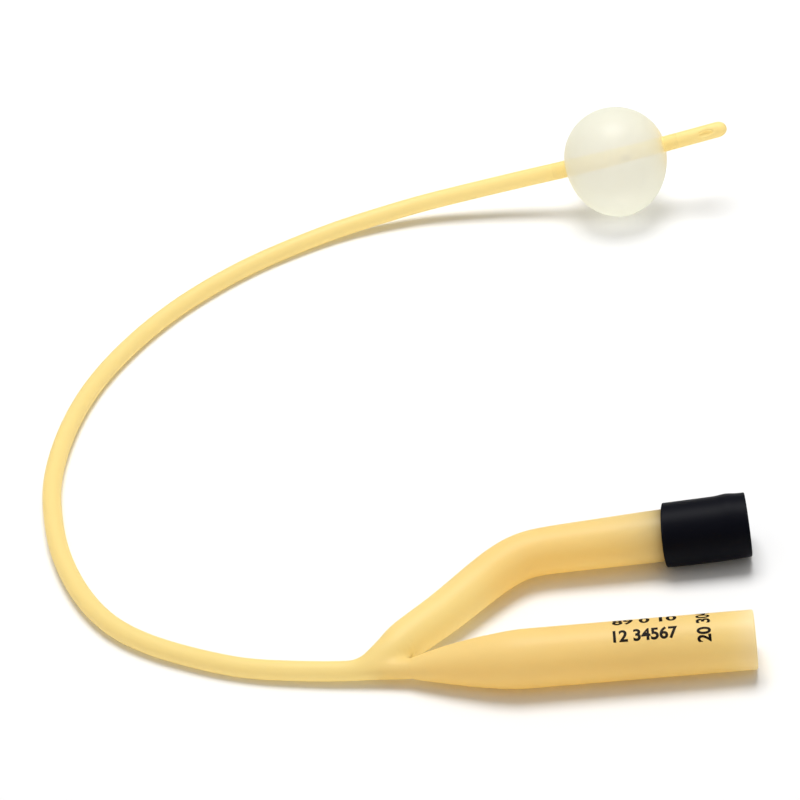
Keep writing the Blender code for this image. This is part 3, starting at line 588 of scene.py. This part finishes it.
# Where the limbs part: the waist line runs midway between the two rods' own surfaces, and the split
# section stands on it just behind the web.
limb_turn = (np.arange(LIMB_SIDES) * 2.0 * np.pi / LIMB_SIDES)[None, :, None]
quarter = LIMB_SIDES // 4
nearest = np.argmin(np.linalg.norm(drain_rod[None] - arm_rod[:, None], axis=-1), axis=1)
across = drain_rod[nearest] - arm_rod
rods_apart = np.linalg.norm(across, axis=1) + NEVER_ZERO
waist_share = 0.5 + (arm_rod_radii - drain_rod_radii[nearest]) / (2.0 * rods_apart)
waist = arm_rod + across * np.clip(waist_share, 0.0, 1.0)[:, None]
waist_depth = skin_distance(waist)
parted = np.argmax(waist_depth > 0.0)
behind = np.max(np.flatnonzero(waist_depth[:parted] < -WEB_DEPTH))
split_share = (-WEB_DEPTH - waist_depth[behind]) / (waist_depth[behind + 1] - waist_depth[behind])
split_place = waist[behind] + split_share * (waist[behind + 1] - waist[behind])
forward = unit((waist[parted] - split_place) * np.array([1.0, 1.0, 0.0]))

# Merging sections from the split to the plain shaft: rays from a short line between the two lobes.
root_at = drain_at[np.argmin(np.linalg.norm(drain_path - arm_out[0], axis=1))]
merged_at = root_at + ARM_OD_ROOT / 2 + 2 * WEB_BLEND
merged_place, shaft_way, _, _ = stand_at(drain_path, merged_at)
merge_reach = np.linalg.norm(merged_place - split_place)
share = np.linspace(0.0, 1.0, int(merge_reach / FORK_STEP))[:, None]
centres = (1 - share) ** 2 * (1 + 2 * share) * split_place + share ** 2 * (3 - 2 * share) * merged_place
centres -= share * (1 - share) * merge_reach * ((1 - share) * forward + share * shaft_way)
merge_way = unit((share - 1) * forward + share * shaft_way)
merge_side = unit(np.cross(merge_way, UP))
merge_rise = np.cross(merge_side, merge_way)
lobes = (1 - share[..., None]) ** 2
reach_sideways = lobes * (ARM_OD_FORK / 2 * np.maximum(np.cos(limb_turn), 0.0)
                          + NECK_OD / 4 * np.minimum(np.cos(limb_turn), 0.0))
merge_rays = np.cos(limb_turn) * merge_side[:, None] + np.sin(limb_turn) * merge_rise[:, None]
merging = reach_skin(centres[:, None] + reach_sideways * merge_side[:, None], merge_rays)

# The web's line of points, from the top of the split section over the crotch to its bottom.
web_turn = np.pi / 2 - np.arange(1, LIMB_SIDES // 2)[:, None] * 2.0 * np.pi / LIMB_SIDES
web_line = reach_skin(split_place[None], np.cos(web_turn) * forward + np.sin(web_turn) * UP)


def last_section(path, corner_points):
    """Distance along a limb's path of its last whole section, clear of the web and the split."""
    measure = lengths_along(path)
    along = np.gradient(path, measure, axis=0)
    closest = [np.argmin(np.linalg.norm(path - point, axis=1)) for point in corner_points]
    abreast = [measure[i] + (point - path[i]) @ along[i] for i, point in zip(closest, corner_points)]
    return min(abreast) - FORK_STEP


web_point = web_line[quarter - 1]
arm_last = last_section(arm_path, (web_point, merging[0, 0]))
drain_last = last_section(drain_path, (web_point, merging[0, 2 * quarter]))
arm_rings = limb_rings(arm_path, arm_last, lambda at: arm_radius(arm_length - at, arm_length))
drain_rings = limb_rings(drain_path, drain_last, drain_radius)
arm_root = np.concatenate([merging[0, :quarter + 1], web_line, merging[0, 3 * quarter:]])
drain_root = np.concatenate([web_line[:quarter][::-1], merging[0, quarter:3 * quarter + 1],
                             web_line[quarter:][::-1]])
patch_share = (np.arange(1, PATCH_ROWS) / PATCH_ROWS)[:, None, None]
arm_patch = settle_on_skin(arm_rings[-1] + patch_share * (arm_root - arm_rings[-1]))
drain_patch = settle_on_skin(drain_rings[-1] + patch_share * (drain_root - drain_rings[-1]))

# The hollows: the funnel's bore down to the drainage channel, and the arm's bore down to its cone.
FUNNEL_WALL = 0.0008
NECK_BORE = 0.0016
ARM_WALL = 0.0008
ARM_BORE_START = 0.0200
ARM_BORE_TAPER = 0.0070
FILL_LUMEN = 0.00045
MOUTH_ROUND = 0.00025
MOUTH_ROWS = 6
FUNNEL_BORE_ROWS = 70
ARM_BORE_ROWS = 60


def arm_bore_radius(at):
    """Radius of the arm's hollow at a distance from the arm's root."""
    full = arm_radius(at, arm_length) - ARM_WALL
    opened = np.clip((at - ARM_BORE_START) / ARM_BORE_TAPER, 0.0, 1.0)
    return FILL_LUMEN + (full - FILL_LUMEN) * np.sqrt(opened * (2.0 - opened))


def mouth_rings(path, outer, inner, bore_at, bore_radii):
    """Sections out of a limb's bore and round its lip, whose edges are quarter circles."""
    round_turn = np.linspace(0.0, np.pi / 2, MOUTH_ROWS)
    inner_lip = (MOUTH_ROUND * (1 - np.sin(round_turn)), inner + MOUTH_ROUND * (1 - np.cos(round_turn)))
    outer_lip = (MOUTH_ROUND * (1 - np.cos(round_turn)), outer - MOUTH_ROUND * (1 - np.sin(round_turn)))
    distances = np.concatenate([bore_at[::-1], inner_lip[0], outer_lip[0]])
    radii = np.concatenate([bore_radii[::-1], inner_lip[1], outer_lip[1]])
    return round_rings(path, distances, radii, LIMB_SIDES)


funnel_bore_end = FUNNEL_LENGTH + FUNNEL_TAPER + FORK_REACH / 2
funnel_bore_at = np.linspace(MOUTH_ROUND, funnel_bore_end, FUNNEL_BORE_ROWS)[1:]
funnel_bore_radii = np.maximum(drain_radius(funnel_bore_at) - FUNNEL_WALL, NECK_BORE / 2)
drain_mouth = mouth_rings(drain_path, FUNNEL_OD / 2, FUNNEL_OD / 2 - FUNNEL_WALL,
                          funnel_bore_at, funnel_bore_radii)
arm_bore_at = np.linspace(MOUTH_ROUND, arm_length - ARM_BORE_START, ARM_BORE_ROWS)[1:]
arm_mouth = mouth_rings(arm_path, ARM_OD_END / 2, ARM_OD_END / 2 - ARM_WALL, arm_bore_at,
                        arm_bore_radius(arm_length - arm_bore_at))
body_rings = [arm_mouth, arm_rings[1:], arm_patch, drain_mouth, drain_rings[1:], drain_patch, merging]
neck_at = np.linspace(merged_at, SHAFT_START, int((SHAFT_START - merged_at) / FORK_STEP))[1:]
body_rings.append(round_rings(drain_path, neck_at, drain_radius(neck_at), LIMB_SIDES))
counts = np.cumsum([0] + [len(rings) for rings in body_rings]) * LIMB_SIDES
numbers = [np.arange(first, last).reshape(-1, LIMB_SIDES) for first, last in zip(counts[:-1], counts[1:])]
split_numbers = numbers[6][0]
web_numbers = counts[-1] + np.arange(len(web_line))
arm_root_numbers = np.concatenate([split_numbers[:quarter + 1], web_numbers, split_numbers[3 * quarter:]])
drain_root_numbers = np.concatenate([web_numbers[:quarter][::-1], split_numbers[quarter:3 * quarter + 1],
                                     web_numbers[quarter:][::-1]])
ends = np.array([stand_at(arm_path, arm_bore_at[-1])[0], stand_at(drain_path, funnel_bore_at[-1])[0],
                 stand_at(drain_path, SHAFT_START)[0]])
end_numbers = web_numbers[-1] + 1 + np.arange(3)
neck_rim = end_numbers[2] + 1 + np.arange(LIMB_SIDES)
body_points = np.concatenate([rings.reshape(-1, 3) for rings in body_rings]
                             + [web_line, ends, body_rings[7][-1]])
forked_body = make_piece("forked_body", body_points, [
    strip_faces(np.concatenate([*numbers[0:3], arm_root_numbers[None]])),
    strip_faces(np.concatenate([*numbers[3:6], drain_root_numbers[None]])),
    strip_faces(np.concatenate([numbers[6], numbers[7]])),
    cap_faces(numbers[0][0], end_numbers[0], True), cap_faces(numbers[3][0], end_numbers[1], True),
    cap_faces(neck_rim, end_numbers[2], False)], dipped_latex)
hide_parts("latex_body")

# The hollows' own faces are mostly clear, so that the wall glows as one thin layer.
BORE_CLEARNESS = 0.75
in_bores = np.concatenate([numbers[0][:len(arm_bore_at)].ravel(), numbers[3][:len(funnel_bore_at)].ravel(),
                           end_numbers[:2]])
refinish(forked_body, in_bores, latex_material("bore_latex", BORE_CLEARNESS))
refinish(forked_body, [*neck_rim, end_numbers[2]], clear_joint)

# Painted light: paler latex where the wall is seen edge on at the funnel's mouth, for the light that the
# open end lets into the wall. And paler latex over the white plug in the arm.
MOUTH_PAINTED_LIGHT = 0.9
MOUTH_PAINTED_LIGHT_LENGTH = 0.0022
PLUG_PALE = 0.3
PLUG_PALE_LENGTH = 0.0060
from_mouth = np.abs(body_points[:, 0] - funnel_mouth[0])
on_funnel = body_points[:, 1] < FUNNEL_Y + FUNNEL_OD
mouth_painted_light = MOUTH_PAINTED_LIGHT * np.exp(-(from_mouth / MOUTH_PAINTED_LIGHT_LENGTH) ** 2) * on_funnel
from_sleeve = np.maximum((sleeve_end - body_points) @ arm_heading - SLEEVE_LENGTH, 0.0)
plug_pale = PLUG_PALE * np.exp(-(from_sleeve / PLUG_PALE_LENGTH) ** 2) * ~on_funnel
mark_points(forked_body, "paleness_and_painted_light", mouth_painted_light + plug_pale)

# Painted shade: darker latex next to the black sleeve, which keeps the light out of the wall.
SLEEVE_PAINTED_SHADE = 0.75
SLEEVE_PAINTED_SHADE_LENGTH = 0.0011
sleeve_painted_shade = SLEEVE_PAINTED_SHADE * np.exp(-from_sleeve / SLEEVE_PAINTED_SHADE_LENGTH) * ~on_funnel
mark_points(forked_body, "shade", sleeve_painted_shade)


# The balloon: a thin milky latex sleeve, bonded to the shaft by a cuff at each end and filled until
# it is almost a ball. It hangs a little below the shaft's line. Its skin is yellower where it is less
# stretched, at the cuffs.
CUFF_LENGTH = 0.0022
CUFF_WALL = 0.00006
CUFF_EDGE = 0.00001
BALLOON_SIDES = 160
BALLOON_ROWS = 150
CUFF_ROWS = 12
MILKY_COLOUR = "#F1F1EA"
MILKY_EDGE = "#E1E4D9"
MILKY_YELLOW = "#F8E3A6"
MILKY_ROUGHNESS = 0.3
MILKY_EDGE_BLEND = 0.3
MILKY_THROUGH = 0.65        # share of the light that goes through and is scattered
MILKY_CLEAR = 0.18          # share that goes straight through, which grows towards the cuffs
SHADOW_CLEAR = 0.58         # the same for the light that falls through, which the filling gathers
CUFF_CLEAR = 0.95
CUFF_CLEAR_POWER = 4.0
FILLET_POWER = 7.0
YELLOW_LENGTH = 0.0016

milky_latex, milky_out = new_material("milky_latex")
cuff_yellow = add_node(milky_latex, "ShaderNodeAttribute", attribute_name="yellowness")
edge_on = add_node(milky_latex, "ShaderNodeLayerWeight", {"Blend": MILKY_EDGE_BLEND})
edge_grey = add_node(milky_latex, "ShaderNodeMix",
                     {"Factor": edge_on.outputs["Facing"], "A": linear(MILKY_COLOUR),
                      "B": linear(MILKY_EDGE)}, data_type="RGBA")
milky_colour = add_node(milky_latex, "ShaderNodeMix",
                        {"Factor": cuff_yellow.outputs["Fac"], "A": edge_grey.outputs["Result"],
                         "B": linear(MILKY_YELLOW)}, data_type="RGBA")
milky_front = add_node(milky_latex, "ShaderNodeBsdfPrincipled",
                       {"Base Color": milky_colour.outputs["Result"], "Roughness": MILKY_ROUGHNESS,
                        "IOR": 1.5})
milky_through = add_node(milky_latex, "ShaderNodeBsdfTranslucent", {"Color": milky_colour.outputs["Result"]})
milky_clear = add_node(milky_latex, "ShaderNodeBsdfTransparent")
milky_soft = add_node(milky_latex, "ShaderNodeMixShader", {0: MILKY_THROUGH, 1: milky_front.outputs[0],
                                                           2: milky_through.outputs[0]})
bonded = add_node(milky_latex, "ShaderNodeMath", {0: cuff_yellow.outputs["Fac"], 1: CUFF_CLEAR_POWER},
                  operation="POWER")
milky_way = add_node(milky_latex, "ShaderNodeLightPath")
open_share = add_node(milky_latex, "ShaderNodeMix", {"Factor": milky_way.outputs["Is Shadow Ray"],
                                                     "A": MILKY_CLEAR, "B": SHADOW_CLEAR})
clear_share = add_node(milky_latex, "ShaderNodeMix", {"Factor": bonded.outputs[0],
                                                      "A": open_share.outputs["Result"], "B": CUFF_CLEAR})
milky_thin = add_node(milky_latex, "ShaderNodeMixShader",
                      {0: clear_share.outputs["Result"], 1: milky_soft.outputs[0],
                       2: milky_clear.outputs[0]})
milky_latex.node_tree.links.new(milky_thin.outputs[0], milky_out.inputs["Surface"])

half_balloon = BALLOON_LENGTH / 2
bulge_turn = np.linspace(-np.pi / 2, np.pi / 2, BALLOON_ROWS)
cuff_run = np.linspace(-half_balloon - CUFF_LENGTH, -half_balloon, CUFF_ROWS, endpoint=False)
along_balloon = np.concatenate([cuff_run, half_balloon * np.sin(bulge_turn), -cuff_run[::-1]])
bulge = np.concatenate([np.zeros(CUFF_ROWS), BALLOON_OD / 2 * np.cos(bulge_turn), np.zeros(CUFF_ROWS)])
balloon_at = drain_length - BALLOON_TO_TIP + along_balloon
onto_cuff = np.clip((np.abs(along_balloon) - half_balloon) / CUFF_LENGTH, 0.0, 1.0)
snug = drain_radius(balloon_at) + CUFF_WALL + onto_cuff * (CUFF_EDGE - CUFF_WALL)
radii = (np.maximum(bulge, 0.0) ** FILLET_POWER + snug ** FILLET_POWER) ** (1.0 / FILLET_POWER)
slack = np.clip((radii - snug) / (BALLOON_OD / 2 - snug), 0.0, 1.0)[:, None, None]
hang = slack * (BALLOON_DRIFT * stand_at(drain_path, balloon_at)[2][:, None] - BALLOON_SAG * UP)
balloon_rings = round_rings(drain_path, balloon_at, radii, BALLOON_SIDES) + hang
balloon_ends = stand_at(drain_path, balloon_at[[0, -1]])[0]
balloon_numbers = np.arange(len(balloon_at) * BALLOON_SIDES).reshape(-1, BALLOON_SIDES)
balloon = make_piece("balloon_skin", np.concatenate([balloon_rings.reshape(-1, 3), balloon_ends]), [
    strip_faces(balloon_numbers), cap_faces(balloon_numbers[0], balloon_numbers.size, True),
    cap_faces(balloon_numbers[-1], balloon_numbers.size + 1, False)], milky_latex)
balloon_yellow = np.exp(-np.maximum(radii - snug, 0.0) / YELLOW_LENGTH)
mark_points(balloon, "yellowness", np.concatenate([np.repeat(balloon_yellow, BALLOON_SIDES), [1.0, 1.0]]))
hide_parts("balloon")


# The valve's sleeve: a short length of blue-black rubber moulded round the arm's end, a little
# uneven, with a lip that leaves the port open.
SLEEVE_SLANT = 0.00055
SLANT_TURN = np.radians(165.0)
SLEEVE_BUMP = 0.00016
BUMP_TURN = np.radians(55.0)
BUMP_BACK = 0.0025
BUMP_LENGTH = 0.0011
SLEEVE_BELLY = 0.00018
BELLY_TURN = np.radians(-125.0)
SLEEVE_ROUND = 0.00012
PORT_OD = 0.0042
SLEEVE_ROWS = 90
SLEEVE_SIDES = 128
SHARP_ANGLE = np.radians(50.0)
RUBBER_COLOUR = "#0A0B13"
RUBBER_ROUGHNESS = 0.46
RUBBER_SHEEN = 0.05


def plain_finish(name, colour, roughness, sheen):
    """A material of one colour, with its roughness and the strength of its mirror-like part."""
    plain, plain_out = new_material(name)
    shader = add_node(plain, "ShaderNodeBsdfPrincipled",
                      {"Base Color": linear(colour), "Roughness": roughness, "IOR": 1.5,
                       "Specular IOR Level": sheen})
    plain.node_tree.links.new(shader.outputs[0], plain_out.inputs["Surface"])
    return plain


def turned_rings(back, radius, sides):
    """Rings about the arm's end run, at distances back from the sleeve's end, one radius or more each."""
    line = np.array([sleeve_end, sleeve_end - arm_heading])
    return round_rings(line, back, radius, sides)


black_rubber = plain_finish("black_rubber", RUBBER_COLOUR, RUBBER_ROUGHNESS, RUBBER_SHEEN)
sleeve_radius = ARM_OD_END / 2 + FIT_GAP + SLEEVE_WALL
edge_turn = np.linspace(0.0, np.pi / 2, MOUTH_ROWS)
wall_back = np.linspace(SLEEVE_ROUND, SLEEVE_LENGTH - SLEEVE_ROUND, SLEEVE_ROWS)
front_edge = sleeve_radius - SLEEVE_ROUND * (1 - np.sin(edge_turn))
bore = ARM_OD_END / 2 + FIT_GAP
port = PORT_OD / 2 + FIT_GAP
sleeve_back = np.concatenate([SLEEVE_ROUND * (1 - np.cos(edge_turn)), wall_back,
                              SLEEVE_LENGTH - SLEEVE_ROUND * (1 - np.cos(edge_turn[::-1])),
                              [SLEEVE_LENGTH, SLEEVE_LIP, SLEEVE_LIP, 0.0]])
plain_wall = np.full(SLEEVE_ROWS, sleeve_radius)
sleeve_radii = np.concatenate([front_edge, plain_wall, front_edge[::-1], [bore, bore, port, port]])

# Hand-cut and a little swollen: the wall has a low bump on top and a belly below, both scaled by the
# cosine of the turn from their middle, and the end nearest the fork is cut at a slant.
sleeve_turn = np.arange(SLEEVE_SIDES) * 2.0 * np.pi / SLEEVE_SIDES
on_wall = (sleeve_radii > bore + FIT_GAP)[:, None]
bump = SLEEVE_BUMP * np.exp(-((sleeve_back[:, None] - BUMP_BACK) / BUMP_LENGTH) ** 2)
belly = SLEEVE_BELLY * np.sin(np.pi * np.clip(sleeve_back[:, None] / SLEEVE_LENGTH, 0.0, 1.0)) ** 0.5
uneven = bump * np.maximum(np.cos(sleeve_turn - BUMP_TURN), 0.0)
uneven += belly * np.maximum(np.cos(sleeve_turn - BELLY_TURN), 0.0)
slant = SLEEVE_SLANT * (sleeve_back[:, None] / SLEEVE_LENGTH) ** 3 * np.cos(sleeve_turn - SLANT_TURN)
sleeve_points = turned_rings(sleeve_back, sleeve_radii[:, None] + on_wall * uneven, SLEEVE_SIDES)
sleeve_points -= slant[..., None] * arm_heading
sleeve_numbers = np.arange(sleeve_points[..., 0].size).reshape(-1, SLEEVE_SIDES)
sleeve = make_piece("sleeve", sleeve_points,
                    [strip_faces(np.concatenate([sleeve_numbers, sleeve_numbers[:1]]))],
                    black_rubber)
sleeve.data.set_sharp_from_angle(angle=SHARP_ANGLE)
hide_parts("valve_sleeve")


# The valve's plug: a soft white plug pushed into the arm's end. A syringe's tip goes into its tapered
# port, and a pinhole behind the port leads into the arm.
PLUG_LENGTH = 0.0085
PORT_TAPER = 0.06
PORT_DEPTH = 0.0060
PLUG_PINHOLE = 0.0005
PLUG_ROUND = 0.0002
PLUG_COLOUR = "#E9E6DC"
PLUG_ROUGHNESS = 0.5
PLUG_SHEEN = 0.5

white_rubber = plain_finish("white_rubber", PLUG_COLOUR, PLUG_ROUGHNESS, PLUG_SHEEN)
plug_face = SLEEVE_LIP + FIT_GAP
plug_front = arm_bore_radius(arm_length) - FIT_GAP
plug_back = arm_bore_radius(arm_length - PLUG_LENGTH) - FIT_GAP
port_mouth = PORT_OD / 2
port_end = port_mouth - PORT_TAPER * PORT_DEPTH / 2
corner = PLUG_ROUND * (1 - np.sin(edge_turn))
corner_back = PLUG_ROUND * (1 - np.cos(edge_turn))
back_of_plug = np.concatenate([plug_face + corner_back, [plug_face + PLUG_LENGTH] * 2,
                               [plug_face + PORT_DEPTH] * 2, plug_face + corner_back[::-1]])
radius_of_plug = np.concatenate([plug_front - corner, [plug_back, PLUG_PINHOLE / 2],
                                 [PLUG_PINHOLE / 2, port_end], port_mouth + corner[::-1]])
plug_points = turned_rings(back_of_plug, radius_of_plug, SLEEVE_SIDES)
plug_numbers = np.arange(plug_points[..., 0].size).reshape(-1, SLEEVE_SIDES)
plug = make_piece("plug", plug_points, [strip_faces(np.concatenate([plug_numbers, plug_numbers[:1]]))],
                  white_rubber)
plug.data.set_sharp_from_angle(angle=SHARP_ANGLE)
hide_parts("valve_plug")


# The print on the funnel: black ink numerals, stamped on in two rows and one turned line. Each line
# is flat lettering that is cut into narrow bands and bent round the funnel.
INK_LIFT = 0.000012
INK_BAND = 0.00012
ROW_HEIGHT = 0.00185
ROW_WIDTH = 0.0084
TURNED_WIDTH = 0.0058
STROKE_SWELL = 0.032
SAME_POINT = 1e-5
LINES = [                   # text, its start along x, its start in degrees round the funnel, turned, width
    ("12 34567", 0.0288, 55.0, False, ROW_WIDTH), ("89 0 10", 0.0288, 97.0, False, ROW_WIDTH),
    ("20 304", 0.0415, 43.0, True, TURNED_WIDTH)]
INK_COLOUR = "#120D06"
INK_ROUGHNESS = 0.55
INK_SHEEN = 0.1


def flat_lettering(text, width):
    """A line of text as a flat mesh cut into bands: its points in metres and its faces."""
    curve = bpy.data.curves.new(text, "FONT")
    curve.body = text
    curve.offset = STROKE_SWELL
    lettering = bpy.data.objects.new(text, curve)
    bpy.context.scene.collection.objects.link(lettering)
    bpy.context.view_layer.update()
    ready = bpy.context.evaluated_depsgraph_get()
    mesh = bpy.data.meshes.new_from_object(lettering.evaluated_get(ready))
    bpy.data.objects.remove(lettering)
    solid = bmesh.new()
    solid.from_mesh(mesh)
    bmesh.ops.remove_doubles(solid, verts=solid.verts, dist=SAME_POINT)
    corners = np.array([vert.co for vert in solid.verts])
    low, high = corners.min(axis=0), corners.max(axis=0)
    scale = np.array([width / (high[0] - low[0]), ROW_HEIGHT / (high[1] - low[1]), 1.0])
    for vert in solid.verts:
        vert.co = Vector((np.array(vert.co) - low) * scale)
    for way, reach in ((0, width), (1, ROW_HEIGHT)):
        for place in np.arange(INK_BAND, reach, INK_BAND):
            bmesh.ops.bisect_plane(solid, geom=solid.verts[:] + solid.edges[:] + solid.faces[:],
                                   plane_co=np.eye(3)[way] * place, plane_no=np.eye(3)[way])
    places = np.array([vert.co for vert in solid.verts])
    faces = np.array([[vert.index for vert in face.verts] for face in bmesh.ops.triangulate(
        solid, faces=solid.faces[:])["faces"]])
    solid.free()
    return places, faces


black_ink = plain_finish("black_ink", INK_COLOUR, INK_ROUGHNESS, INK_SHEEN)
ink_radius = FUNNEL_OD / 2 + INK_LIFT
ink_points, ink_faces, ink_count = [], [], 0
for text, start_x, start_turn, turned, width in LINES:
    places, faces = flat_lettering(text, width)
    along = start_x - places[:, 1] if turned else start_x + places[:, 0]
    around = np.radians(start_turn) + (places[:, 0] if turned else places[:, 1]) / ink_radius
    ink_points.append(np.stack([along, FUNNEL_Y - ink_radius * np.cos(around),
                                FUNNEL_OD / 2 + ink_radius * np.sin(around)], axis=1))
    ink_faces.append(faces + ink_count)
    ink_count += len(places)
ink = make_piece("ink", np.concatenate(ink_points), ink_faces, black_ink)
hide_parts("latex_body")
